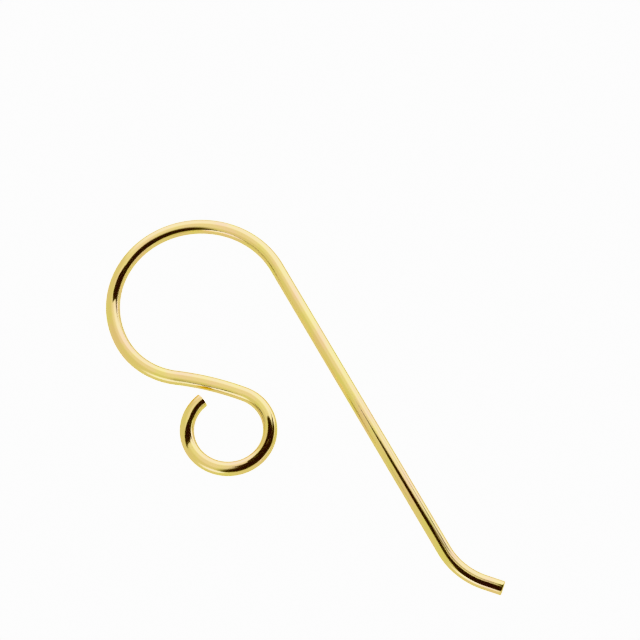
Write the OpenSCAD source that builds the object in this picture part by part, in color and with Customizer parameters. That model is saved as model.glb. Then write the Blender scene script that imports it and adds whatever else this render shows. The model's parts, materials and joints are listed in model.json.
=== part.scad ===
// Ear wire: one length of round wire bent into an eye, a neck, a crook, a long leg and a kicked tail.
// It lies flat on the XY plane, the leg along Y with the crook at +Y, in millimetres.

/* [Wire] */
// Diameter of the round wire, 21 gauge
wire_d = 0.72; // [0.6:0.01:0.9]
// Rounding of the edge of the tail's tip, which goes through the ear
tip_round = 0.08; // [0.02:0.01:0.2]

/* [Eye] */
// Clear diameter inside the eye, where a drop hangs
eye_inside_d = 3.25; // [2.5:0.05:4]
// Degrees that the wire goes round the eye
eye_turn = 299; // [270:1:305]

/* [Neck] */
// Centreline radius of the long gentle bend between the eye and the crook
neck_bend_r = 14; // [9:0.5:25]
// Degrees that the neck turns through
neck_turn = 14; // [8:1:20]

/* [Crook] */
// Clear diameter inside the crook, which sits in the ear lobe
crook_inside_d = 7.75; // [6:0.05:10]
// Degrees that the crook turns through from the top of the leg
crook_turn = 181; // [160:1:190]
// Centreline radius of the tighter lower crook, next to the neck
lower_crook_bend_r = 3.5; // [2.5:0.1:5]
// Degrees that the lower crook turns through
lower_crook_turn = 53; // [40:1:65]

/* [Leg and tail] */
// Length of the straight leg
leg_len = 16.6; // [12:0.1:25]
// Centreline radius of the kink at the foot of the leg
kink_bend_r = 3.4; // [2:0.1:6]
// Degrees that the kink turns the tail away from the leg
kink_turn = 42; // [20:1:60]
// Length of the straight tail, to its tip
tail_len = 0.92; // [0.5:0.02:4]

/* [Hidden] */
$fn = 64;

wire_r = wire_d / 2;
eye_bend_r = eye_inside_d / 2 + wire_r;
crook_bend_r = crook_inside_d / 2 + wire_r;

// The wire is followed two ways from the top of the leg: up round the crook, and down to the tail.
// A bend is [centreline radius, degrees that it turns to the left].
leg_top = [0, 0];
heading_up = 90;
heading_down = -90;
bends_to_eye = [
    [crook_bend_r, crook_turn],
    [lower_crook_bend_r, lower_crook_turn],
    [neck_bend_r, -neck_turn],
    [eye_bend_r, -eye_turn]
];
kink = [kink_bend_r, kink_turn];

function ahead(heading) = [cos(heading), sin(heading)];
function left(heading) = [-sin(heading), cos(heading)];

// Centre of a bend that starts at p, and the point of its centreline where the wire's heading is now
function centre_of(bend, p, heading) = p + bend[0] * sign(bend[1]) * left(heading);
function point_of(bend, p, heading, now) = centre_of(bend, p, heading) - bend[0] * sign(bend[1]) * left(now);
function end_of(bend, p, heading) = point_of(bend, p, heading, heading + bend[1]);

// Where each bend of a run starts, and which way the wire heads there, with the run's end as the last entry
function starts_of(bends, p, heading, i = 0) =
    i == len(bends)
        ? [[p, heading]]
        : concat(
            [[p, heading]],
            starts_of(bends, end_of(bends[i], p, heading), heading + bends[i][1], i + 1)
        );

crook_starts = starts_of(bends_to_eye, leg_top, heading_up);
leg_foot = leg_top + leg_len * ahead(heading_down);
tail_start = end_of(kink, leg_foot, heading_down);
tail_heading = heading_down + kink_turn;
tail_tip = tail_start + tail_len * ahead(tail_heading);

// Points on the outline of a bend that can be its furthest along X or Y: at its ends and at each quarter turn
function outline_of(bend, p, heading) =
    let (
        last = heading + bend[1],
        quarters = [for (q = [ceil(min(heading, last) / 90) : floor(max(heading, last) / 90)]) 90 * q]
    )
    [for (now = [heading, each quarters, last], side = [-1, 1])
        point_of(bend, p, heading, now) + side * wire_r * left(now)];
tip_outline = [
    for (side = [-1, 1], quarter = [0 : 3])
        tail_tip - tip_round * ahead(tail_heading)
            + side * (wire_r - tip_round) * left(tail_heading) + tip_round * ahead(90 * quarter)
];
outline = [
    for (i = [0 : len(bends_to_eye) - 1])
        each outline_of(bends_to_eye[i], crook_starts[i][0], crook_starts[i][1]),
    each outline_of(kink, leg_foot, heading_down),
    each tip_outline
];
xs = [for (p = outline) p[0]];
ys = [for (p = outline) p[1]];
middle = [min(xs) + max(xs), min(ys) + max(ys)] / 2;

// Moves its children to p in a coarse step and a fine one, so that none of the digits of p is lost
module at(p) {
    step = 0.001;
    coarse = [for (v = p) step * round(v / step)];
    translate(coarse) translate(p - coarse) children();
}

// A bend of wire that starts at p with the given heading
module bent_wire(bend, p, heading) {
    side = sign(bend[1]);
    at(centre_of(bend, p, heading))
        rotate_extrude(angle = bend[1], start = heading - 90 * side)
            translate([bend[0], 0]) circle(r = wire_r);
}

// A straight length of wire from p, along its heading
module straight_wire(length, p, heading) {
    at(p) rotate([90, 0, heading + 90]) cylinder(r = wire_r, h = length);
}

// The tail's tip: a flat end with its edge rounded, from p along its heading
module rounded_tip(p, heading) {
    flat_r = wire_r - tip_round;
    at(p) rotate([90, 0, heading + 90]) rotate_extrude() {
        square([flat_r, tip_round]);
        translate([flat_r, 0]) intersection() {
            circle(r = tip_round);
            square(tip_round);
        }
    }
}

module ear_wire() {
    color("gold") translate([-middle[0], -middle[1], wire_r]) {
        for (i = [0 : len(bends_to_eye) - 1])
            bent_wire(bends_to_eye[i], crook_starts[i][0], crook_starts[i][1]);
        straight_wire(leg_len, leg_top, heading_down);
        bent_wire(kink, leg_foot, heading_down);
        straight_wire(tail_len - tip_round, tail_start, tail_heading);
        rounded_tip(tail_tip - tip_round * ahead(tail_heading), tail_heading);
    }
}

ear_wire();
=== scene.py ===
import json
import math

import bpy
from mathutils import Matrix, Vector


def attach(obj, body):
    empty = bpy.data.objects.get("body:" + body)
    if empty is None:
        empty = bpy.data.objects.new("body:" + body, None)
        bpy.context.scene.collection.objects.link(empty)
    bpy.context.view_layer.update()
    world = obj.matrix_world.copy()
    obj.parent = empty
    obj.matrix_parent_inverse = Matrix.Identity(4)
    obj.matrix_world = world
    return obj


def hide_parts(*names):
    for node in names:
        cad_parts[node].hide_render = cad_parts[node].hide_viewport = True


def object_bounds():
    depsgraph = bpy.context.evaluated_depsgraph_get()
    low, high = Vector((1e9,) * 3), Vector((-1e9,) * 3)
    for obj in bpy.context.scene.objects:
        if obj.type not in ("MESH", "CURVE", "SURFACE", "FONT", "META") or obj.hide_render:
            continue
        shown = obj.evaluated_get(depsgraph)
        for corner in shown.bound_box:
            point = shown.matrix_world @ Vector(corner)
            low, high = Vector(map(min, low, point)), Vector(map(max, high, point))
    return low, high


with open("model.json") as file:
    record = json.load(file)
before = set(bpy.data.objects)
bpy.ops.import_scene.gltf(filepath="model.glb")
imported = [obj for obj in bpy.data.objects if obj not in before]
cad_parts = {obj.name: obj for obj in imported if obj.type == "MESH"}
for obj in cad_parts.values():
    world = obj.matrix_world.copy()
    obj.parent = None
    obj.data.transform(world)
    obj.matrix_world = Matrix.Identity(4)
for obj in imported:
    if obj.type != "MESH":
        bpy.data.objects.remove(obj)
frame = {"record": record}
cad_low, cad_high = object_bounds()

MM = 0.001


# The camera

VIEW_AZIMUTH = -28.5
VIEW_ELEVATION = 66.0
VIEW_DISTANCE = 129.45 * MM
AIM = Vector((4.07, 4.10, 0.36)) * MM
LENS = 150
SENSOR = 36
NEAREST, FURTHEST = 0.01, 10


def direction(azimuth, elevation):
    """Unit vector towards a viewer who stands at that azimuth, 0 being the -Y side, and elevation."""
    a, e = math.radians(azimuth), math.radians(elevation)
    return Vector((math.sin(a) * math.cos(e), -math.cos(a) * math.cos(e), math.sin(e)))


def set_camera():
    """A long lens that looks down on the wire from the front left."""
    camera = bpy.data.cameras.new("camera")
    camera.lens = LENS
    camera.sensor_width = SENSOR
    camera.clip_start, camera.clip_end = NEAREST, FURTHEST
    holder = bpy.data.objects.new("camera", camera)
    back = direction(VIEW_AZIMUTH, VIEW_ELEVATION)
    holder.location = AIM + back * VIEW_DISTANCE
    holder.rotation_euler = back.to_track_quat("Z", "Y").to_euler()
    bpy.context.scene.collection.objects.link(holder)
    bpy.context.scene.camera = holder


set_camera()


# Sizes of the bent wire, in millimetres and degrees

MOUNTS = {mount["name"]: mount for mount in frame["record"]["mounts"]}
WIRE_R = MOUNTS["tail_tip"]["dims"]["r_mm"]
EYE_BEND_R = MOUNTS["eye"]["dims"]["r_mm"] + WIRE_R
CROOK_BEND_R = MOUNTS["crook_seat"]["dims"]["r_mm"] + WIRE_R
LOWER_CROOK_BEND_R = 3.5
NECK_BEND_R = 14
KINK_BEND_R = 3.4
EYE_TURN = 299
NECK_TURN = 14
LOWER_CROOK_TURN = 53
CROOK_TURN = 181
KINK_TURN = 42
LEG_LEN = 16.6
TAIL_LEN = 0.92
HEADING_UP = 90
HEADING_DOWN = -90

# Rounding of the edges of the two ends, and how finely the mesh follows the wire
TIP_ROUND = 0.08
CUT_BREAK = 0.025
BEND_STEP = 1.5
STRAIGHT_STEP = 0.4
END_STEPS = 7
SIDES = 80


def ahead(heading):
    return Vector((math.cos(math.radians(heading)), math.sin(math.radians(heading)), 0))


def left_of(heading):
    return ahead(heading + 90)


def bend(points, heading, radius, turn):
    """Adds a bend that starts at the last point, positive turns to the left, and returns the new heading."""
    side = math.copysign(1, turn)
    centre = points[-1] + radius * side * left_of(heading)
    steps = math.ceil(abs(turn) / BEND_STEP)
    for i in range(1, steps + 1):
        points.append(centre - radius * side * left_of(heading + turn * i / steps))
    return heading + turn


def straight(points, heading, length):
    """Adds a straight stretch that starts at the last point."""
    start = points[-1]
    steps = math.ceil(length / STRAIGHT_STEP)
    for i in range(1, steps + 1):
        points.append(start + ahead(heading) * length * i / steps)


def tighten(points, reach):
    """Adds points within reach of the last one, for the rings that round the edge there."""
    tip = points.pop()
    back = (points[-1] - tip).normalized()
    for i in range(END_STEPS, -1, -1):
        points.append(tip + back * reach * (1 - math.cos(math.radians(90 * i / END_STEPS))))


def wire_route():
    """Centreline from the eye's cut end to the tail's tip, flat on the floor, in millimetres."""
    leg_top = Vector((
        cad_low.x / MM + 2 * CROOK_BEND_R + WIRE_R,
        cad_high.y / MM - CROOK_BEND_R - WIRE_R,
        WIRE_R,
    ))
    up = [leg_top]
    heading = bend(up, HEADING_UP, CROOK_BEND_R, CROOK_TURN)
    heading = bend(up, heading, LOWER_CROOK_BEND_R, LOWER_CROOK_TURN)
    heading = bend(up, heading, NECK_BEND_R, -NECK_TURN)
    bend(up, heading, EYE_BEND_R, -EYE_TURN)
    tighten(up, CUT_BREAK)

    down = [leg_top]
    straight(down, HEADING_DOWN, LEG_LEN)
    heading = bend(down, HEADING_DOWN, KINK_BEND_R, KINK_TURN)
    straight(down, heading, TAIL_LEN)
    tighten(down, TIP_ROUND)
    return up[:0:-1] + down


# Node trees

# The mix node's colour sockets share their names with its others, so they are reached by number
MIX_COLOUR_A = 6
MIX_COLOUR_B = 7
MIX_COLOUR_OUT = 2


class Tree:
    """Makes the nodes of one tree and joins them."""

    def __init__(self, tree):
        self.tree = tree

    def node(self, kind, inputs=None, **settings):
        made = self.tree.nodes.new(kind)
        for name, value in settings.items():
            setattr(made, name, value)
        for name, value in (inputs or {}).items():
            self.feed(made.inputs[name], value)
        return made

    def feed(self, socket, value):
        if isinstance(value, bpy.types.NodeSocket):
            self.tree.links.new(value, socket)
        else:
            socket.default_value = value

    def math(self, operation, *values):
        return self.node("ShaderNodeMath", dict(enumerate(values)), operation=operation).outputs[0]

    def vector_math(self, operation, *values, output="Vector"):
        made = self.node("ShaderNodeVectorMath", dict(enumerate(values)), operation=operation)
        return made.outputs[output]

    def between(self, value, low, high, to_low=0.0, to_high=1.0):
        """A smooth step of the value, from to_low at low to to_high at high."""
        ends = {"Value": value, "From Min": low, "From Max": high, "To Min": to_low, "To Max": to_high}
        return self.node("ShaderNodeMapRange", ends, interpolation_type="SMOOTHSTEP").outputs["Result"]

    def mix(self, factor, a, b):
        made = self.node("ShaderNodeMix", data_type="RGBA")
        self.feed(made.inputs["Factor"], factor)
        self.feed(made.inputs[MIX_COLOUR_A], a)
        self.feed(made.inputs[MIX_COLOUR_B], b)
        return made.outputs[MIX_COLOUR_OUT]


# The wire's shape

def drawn_wire_tree(material):
    """Sweeps a round section along a route, with the edges of both ends rounded."""
    group = bpy.data.node_groups.new("drawn_wire", "GeometryNodeTree")
    made = group.interface
    made.new_socket("Route", in_out="INPUT", socket_type="NodeSocketGeometry")
    for name in ("Wire radius", "Tip rounding", "Cut edge break"):
        made.new_socket(name, in_out="INPUT", socket_type="NodeSocketFloat")
    made.new_socket("Sides", in_out="INPUT", socket_type="NodeSocketInt")
    made.new_socket("Wire", in_out="OUTPUT", socket_type="NodeSocketGeometry")

    build = Tree(group)
    given = build.node("NodeGroupInput").outputs
    length = build.node("GeometryNodeSplineLength").outputs["Length"]
    along = build.node("GeometryNodeSplineParameter").outputs["Length"]
    to_tip = build.math("SUBTRACT", length, along)

    def lost_to_edge(distance, rounding):
        """How much a rounded edge takes off the section's radius, this far from the end."""
        inside = build.math("MAXIMUM", build.math("SUBTRACT", rounding, distance), 0.0)
        kept = build.math("SUBTRACT", build.math("POWER", rounding, 2.0), build.math("POWER", inside, 2.0))
        return build.math("SUBTRACT", rounding, build.math("SQRT", build.math("MAXIMUM", kept, 0.0)))

    lost = build.math(
        "ADD",
        lost_to_edge(along, given["Cut edge break"]),
        lost_to_edge(to_tip, given["Tip rounding"]),
    )
    radius = build.math("SUBTRACT", given["Wire radius"], lost)
    scale = build.math("DIVIDE", radius, given["Wire radius"])

    upright = build.node("GeometryNodeSetCurveNormal", {"Curve": given["Route"]}, mode="Z_UP")
    rail = build.node(
        "GeometryNodeStoreNamedAttribute",
        {"Geometry": upright.outputs["Curve"], "Name": "along", "Value": along},
        data_type="FLOAT",
        domain="POINT",
    )
    circle = build.node(
        "GeometryNodeCurvePrimitiveCircle", {"Resolution": given["Sides"], "Radius": given["Wire radius"]}
    )
    section = build.node(
        "GeometryNodeStoreNamedAttribute",
        {
            "Geometry": circle.outputs["Curve"],
            "Name": "section",
            "Value": build.node("GeometryNodeInputPosition").outputs["Position"],
        },
        data_type="FLOAT_VECTOR",
        domain="POINT",
    )
    swept = build.node(
        "GeometryNodeCurveToMesh",
        {
            "Curve": rail.outputs["Geometry"],
            "Profile Curve": section.outputs["Geometry"],
            "Scale": scale,
            "Fill Caps": True,
        },
    )
    smooth = build.node(
        "GeometryNodeSetShadeSmooth", {"Geometry": swept.outputs["Mesh"], "Shade Smooth": True}
    )
    real = build.node("GeometryNodeRealizeInstances", {"Geometry": smooth.outputs["Geometry"]})
    finished = build.node(
        "GeometryNodeSetMaterial", {"Geometry": real.outputs["Geometry"], "Material": material}
    )
    build.node("NodeGroupOutput", {"Wire": finished.outputs["Geometry"]})
    return group


def route_object(points):
    """The route as a curve of straight steps, in metres."""
    curve = bpy.data.curves.new("wire_route", "CURVE")
    curve.dimensions = "3D"
    spline = curve.splines.new("POLY")
    spline.points.add(len(points) - 1)
    for slot, point in zip(spline.points, points):
        slot.co = (*(point * MM), 1)
    made = bpy.data.objects.new("wire_route", curve)
    bpy.context.scene.collection.objects.link(made)
    return made


def set_inputs(modifier, values):
    """Sets a modifier's inputs by their names in the tree."""
    for item in modifier.node_group.interface.items_tree:
        if item.item_type == "SOCKET" and item.name in values:
            modifier[item.identifier] = values[item.name]


def make_wire(material):
    """The whole ear wire as one plain mesh."""
    route = route_object(wire_route())
    modifier = route.modifiers.new("drawn_wire", "NODES")
    modifier.node_group = drawn_wire_tree(material)
    set_inputs(modifier, {
        "Wire radius": WIRE_R * MM,
        "Tip rounding": TIP_ROUND * MM,
        "Cut edge break": CUT_BREAK * MM,
        "Sides": SIDES,
    })
    bpy.context.view_layer.update()
    ready = route.evaluated_get(bpy.context.evaluated_depsgraph_get())
    mesh = bpy.data.meshes.new_from_object(ready)
    mesh.name = "bent_wire"
    wire = bpy.data.objects.new("bent_wire", mesh)
    bpy.context.scene.collection.objects.link(wire)
    route.modifiers.remove(modifier)
    bpy.data.objects.remove(route)
    return wire


# Materials

GOLD = (0.98, 0.79, 0.26, 1)
GOLD_WARM = (1.0, 0.75, 0.29, 1)
GOLD_GREEN = (0.94, 0.81, 0.22, 1)

# Marks in the wire's surface: how wide and how long they are, in millimetres, and the noise's detail
HUE_MARKS = {"wide": 0.5, "long": 1.1, "detail": 2.0}
DIE_LINES = {"wide": 0.03, "long": 2.5, "detail": 3.0}

# Where the hue's noise starts to turn warm or green, and where it is fully so
HUE_MIDDLE = 0.5
FULLY_WARM = 0.68
FULLY_GREEN = 0.32

# The span of the die lines' noise that roughness follows, the roughness there, and the lines' relief
LINES_LOW = 0.3
LINES_HIGH = 0.7
SMOOTHEST = 0.12
ROUGHEST = 0.18
LINE_STRENGTH = 0.25
LINE_DEPTH = 0.002 * MM


def gold_wire():
    """Polished gold-filled wire: fine die lines along it and slight shifts of hue."""
    material = bpy.data.materials.new("gold_wire")
    material.use_nodes = True
    build = Tree(material.node_tree)
    shader = material.node_tree.nodes["Principled BSDF"]
    shader.inputs["Metallic"].default_value = 1.0

    along = build.node("ShaderNodeAttribute", attribute_name="along").outputs["Fac"]
    section = build.node("ShaderNodeAttribute", attribute_name="section").outputs["Vector"]
    across = build.node("ShaderNodeSeparateXYZ", {"Vector": section}).outputs
    place = build.node(
        "ShaderNodeCombineXYZ", {"X": across["X"], "Y": across["Y"], "Z": along}
    ).outputs["Vector"]

    def stretched_noise(wide, long, detail):
        """Noise in the straightened wire whose marks are this wide and this long, in millimetres."""
        scale = (1 / (wide * MM), 1 / (wide * MM), 1 / (long * MM))
        spread = build.vector_math("MULTIPLY", place, scale)
        noise = build.node("ShaderNodeTexNoise", {"Vector": spread, "Scale": 1.0, "Detail": detail})
        return noise.outputs["Fac"]

    hue = stretched_noise(**HUE_MARKS)
    warm = build.between(hue, HUE_MIDDLE, FULLY_WARM)
    green = build.between(hue, HUE_MIDDLE, FULLY_GREEN)
    colour = build.mix(green, build.mix(warm, GOLD, GOLD_WARM), GOLD_GREEN)
    build.feed(shader.inputs["Base Color"], colour)

    lines = stretched_noise(**DIE_LINES)
    roughness = build.between(lines, LINES_LOW, LINES_HIGH, SMOOTHEST, ROUGHEST)
    build.feed(shader.inputs["Roughness"], roughness)
    relief = {"Strength": LINE_STRENGTH, "Distance": LINE_DEPTH, "Height": lines}
    bump = build.node("ShaderNodeBump", relief)
    build.feed(shader.inputs["Normal"], bump.outputs["Normal"])
    return material


# The floor and the light

FLOOR_HALF = 1.0
FLOOR_BELOW = 0.004 * MM
FLOOR_SEEN = 3.4
FLOOR_REFLECTED = 0.77
TENT_RADIUS = 85 * MM
TENT_SUBDIVISIONS = 5

# What the tent and the flags give off
DARK = (0.024, 0.008, 0.010, 1)
WALL_WHITE = (0.76, 0.76, 0.76, 1)
ROOF_WHITE = (0.90, 0.88, 1.15, 1)
BACK_WHITE = (1.7, 1.75, 2.9, 1)
LEFT_WHITE = (1.7, 1.82, 3.57, 1)
FRONT_WHITE = (0.9, 0.9, 1.2, 1)
BACKDROP_WHITE = (1, 1, 1, 1)

# Patches of the tent, in degrees: the studio direction of the middle, and how far from it
# the patch is whole and where it ends
ROOF_PATCH = {"azimuth": 0, "zenith": 0, "whole": 24, "ends": 44}
BACK_PATCH = {"azimuth": 73, "zenith": 80, "whole": 42, "ends": 59}
LEFT_PATCH = {"azimuth": -119, "zenith": 88, "whole": 8, "ends": 26}
FRONT_PATCH = {"azimuth": 13, "zenith": 82, "whole": 5, "ends": 18}
LOW_FRONT_PATCH = {"azimuth": -25, "zenith": 89, "whole": 18, "ends": 24}
DARK_SPOT = {"azimuth": 16, "zenith": 23, "whole": 12, "ends": 16}

# Sides of the dark opening, in degrees: the studio direction of a pole, and how far above
# the pole's plane the opening starts and is whole
OPENING_LEFT = {"azimuth": -32, "zenith": 86, "starts": 5.5, "whole": 22.5}
OPENING_TOP = {"azimuth": -40, "zenith": 101, "starts": -24, "whole": 5}
OPENING_RIGHT = {"azimuth": 203, "zenith": 54, "starts": -32, "whole": -28}
OPENING_FLOOR = {"azimuth": 0, "zenith": 0, "whole": 68, "ends": 78}


def seen_or_reflected(build, seen, reflected):
    """One value for what the camera looks at, the other for what the wire mirrors."""
    straight_on = build.node("ShaderNodeLightPath").outputs["Is Camera Ray"]
    return build.math("ADD", reflected, build.math("MULTIPLY", straight_on, seen - reflected))


def glowing_material(name):
    """A material that only gives light, and its tree and emission node."""
    material = bpy.data.materials.new(name)
    material.use_nodes = True
    material.node_tree.nodes.clear()
    material.cycles.emission_sampling = "NONE"
    build = Tree(material.node_tree)
    glow = build.node("ShaderNodeEmission")
    build.node("ShaderNodeOutputMaterial", {"Surface": glow.outputs["Emission"]})
    return material, build, glow


def pale_floor():
    """A large white floor, as bright as a light table."""
    material, build, glow = glowing_material("pale_floor")
    build.feed(glow.inputs["Strength"], seen_or_reflected(build, FLOOR_SEEN, FLOOR_REFLECTED))
    bpy.ops.mesh.primitive_plane_add(size=2 * FLOOR_HALF, location=(0, 0, -FLOOR_BELOW))
    floor = bpy.context.object
    floor.name = "floor"
    floor.data.materials.append(material)


def studio(azimuth, zenith):
    """Unit vector in the studio: azimuth 0 is to the camera's right, 90 away from it."""
    a, z = math.radians(azimuth + VIEW_AZIMUTH), math.radians(zenith)
    return Vector((math.cos(a) * math.sin(z), math.sin(a) * math.sin(z), math.cos(z)))


def tent_light(build, glow):
    """A soft white tent, bright at the back and the front left, with a dark opening at the front right."""
    place = build.node("ShaderNodeTexCoord").outputs["Object"]
    towards = build.vector_math("NORMALIZE", place)

    def degrees_from(centre):
        dot = build.vector_math("DOT_PRODUCT", towards, centre, output="Value")
        return build.math("DEGREES", build.math("ARCCOSINE", dot))

    def patch(azimuth, zenith, whole, ends):
        """1 within so many degrees of the patch's middle, falling to 0 where the patch ends."""
        return build.between(degrees_from(studio(azimuth, zenith)), whole, ends, 1.0, 0.0)

    def past(azimuth, zenith, starts, whole):
        """Rises from 0 to 1 as the direction goes from one height above the pole's plane to the other."""
        return build.between(degrees_from(studio(azimuth, zenith)), 90 - starts, 90 - whole)

    light = build.mix(patch(**ROOF_PATCH), WALL_WHITE, ROOF_WHITE)
    light = build.mix(patch(**BACK_PATCH), light, BACK_WHITE)
    light = build.mix(patch(**LEFT_PATCH), light, LEFT_WHITE)

    sides = build.math("MULTIPLY", past(**OPENING_LEFT), past(**OPENING_RIGHT))
    heights = build.math("MULTIPLY", past(**OPENING_TOP), patch(**OPENING_FLOOR))
    opening = build.math("MULTIPLY", sides, heights)
    light = build.mix(build.math("MAXIMUM", opening, patch(**DARK_SPOT)), light, DARK)

    light = build.mix(patch(**FRONT_PATCH), light, FRONT_WHITE)
    light = build.mix(patch(**LOW_FRONT_PATCH), light, FRONT_WHITE)
    build.feed(glow.inputs["Color"], light)


def light_tent():
    """The tent round the wire, which the camera looks through, and a plain white backdrop."""
    material, build, glow = glowing_material("light_tent")
    tent_light(build, glow)
    bpy.ops.mesh.primitive_ico_sphere_add(
        subdivisions=TENT_SUBDIVISIONS, radius=TENT_RADIUS, location=AIM
    )
    tent = bpy.context.object
    tent.name = "light_tent"
    tent.visible_camera = False
    tent.data.materials.append(material)

    world = bpy.data.worlds.new("backdrop")
    world.use_nodes = True
    backdrop = world.node_tree.nodes["Background"]
    backdrop.inputs["Color"].default_value = BACKDROP_WHITE
    backdrop.inputs["Strength"].default_value = FLOOR_SEEN
    bpy.context.scene.world = world
    bpy.context.scene.view_settings.view_transform = "Khronos PBR Neutral"


# Black flags: cards level with the floor, one high and five low, that the wire mirrors as dark stripes.
# Their corners and heights are in millimetres.
FOOT_FLAG = [
    (-0.5, 1.6),
    (1.0, 3.6),
    (2.6, 1.3),
    (4.6, 0.5),
    (7.2, -4.6),
    (3.4, -6.8),
    (3.0, -9.0),
    (3.2, -10.6),
    (5.2, -12.4),
    (-22.0, -36.0),
    (-20.0, -18.0),
    (-8.0, -9.0),
    (-3.6, -4.5),
    (-3.0, 0.0),
]
FOOT_FLAG_HEIGHT = 12
LOW_FLAGS = {
    "tip_flag": [
        (-6.2, 1.7),
        (-4.2, 1.6),
        (-3.4, 1.8),
        (-2.7, 1.9),
        (-2.3, 1.7),
        (-2.3, 1.9),
        (-2.6, 2.2),
        (-3.2, 2.2),
        (-3.7, 2.6),
        (-4.3, 2.5),
        (-6.2, 2.0),
    ],
    "eye_flag": [
        (-2.4, -0.7),
        (-2.4, -0.4),
        (-1.7, 0.0),
        (-1.2, 0.7),
        (-0.9, 1.1),
        (-0.3, 1.0),
        (-0.1, 0.7),
        (-0.1, 0.1),
        (-0.9, -0.2),
        (-1.5, -0.5),
    ],
    "eye_side_flag": [
        (-4.4, -1.9),
        (-1.9, -2.3),
        (-2.0, -3.3),
        (-2.5, -4.4),
        (-4.2, -4.4),
        (-4.6, -2.5),
    ],
    "crook_flag": [
        (-4.3, 9.9),
        (-4.0, 10.5),
        (-3.4, 11.0),
        (-2.7, 11.2),
        (-2.6, 10.6),
        (-1.0, 10.6),
        (0.6, 10.2),
        (0.6, 9.6),
        (0.3, 9.2),
        (0.1, 8.2),
        (-0.5, 8.3),
        (-0.9, 9.2),
        (-1.7, 9.6),
        (-3.0, 9.7),
    ],
    "tail_flag": [
        (1.7, -10.9),
        (2.5, -9.9),
        (3.0, -11.5),
        (3.9, -12.9),
        (3.3, -13.6),
        (2.3, -13.6),
        (2.0, -12.0),
    ],
}
LOW_FLAG_HEIGHT = 1.5


def black_flag(name, outline, height):
    """A dark card, level with the floor, that shows only in the wire."""
    material, _, glow = glowing_material(name)
    glow.inputs["Color"].default_value = DARK
    mesh = bpy.data.meshes.new(name)
    corners = [Vector((x, y, height)) * MM for x, y in outline]
    mesh.from_pydata(corners, [], [list(range(len(corners)))])
    mesh.materials.append(material)
    flag = bpy.data.objects.new(name, mesh)
    bpy.context.scene.collection.objects.link(flag)
    flag.visible_camera = False


pale_floor()
light_tent()
black_flag("foot_flag", FOOT_FLAG, FOOT_FLAG_HEIGHT)
for name, outline in LOW_FLAGS.items():
    black_flag(name, outline, LOW_FLAG_HEIGHT)

wire = make_wire(gold_wire())
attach(wire, "root")
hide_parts("ear_wire")
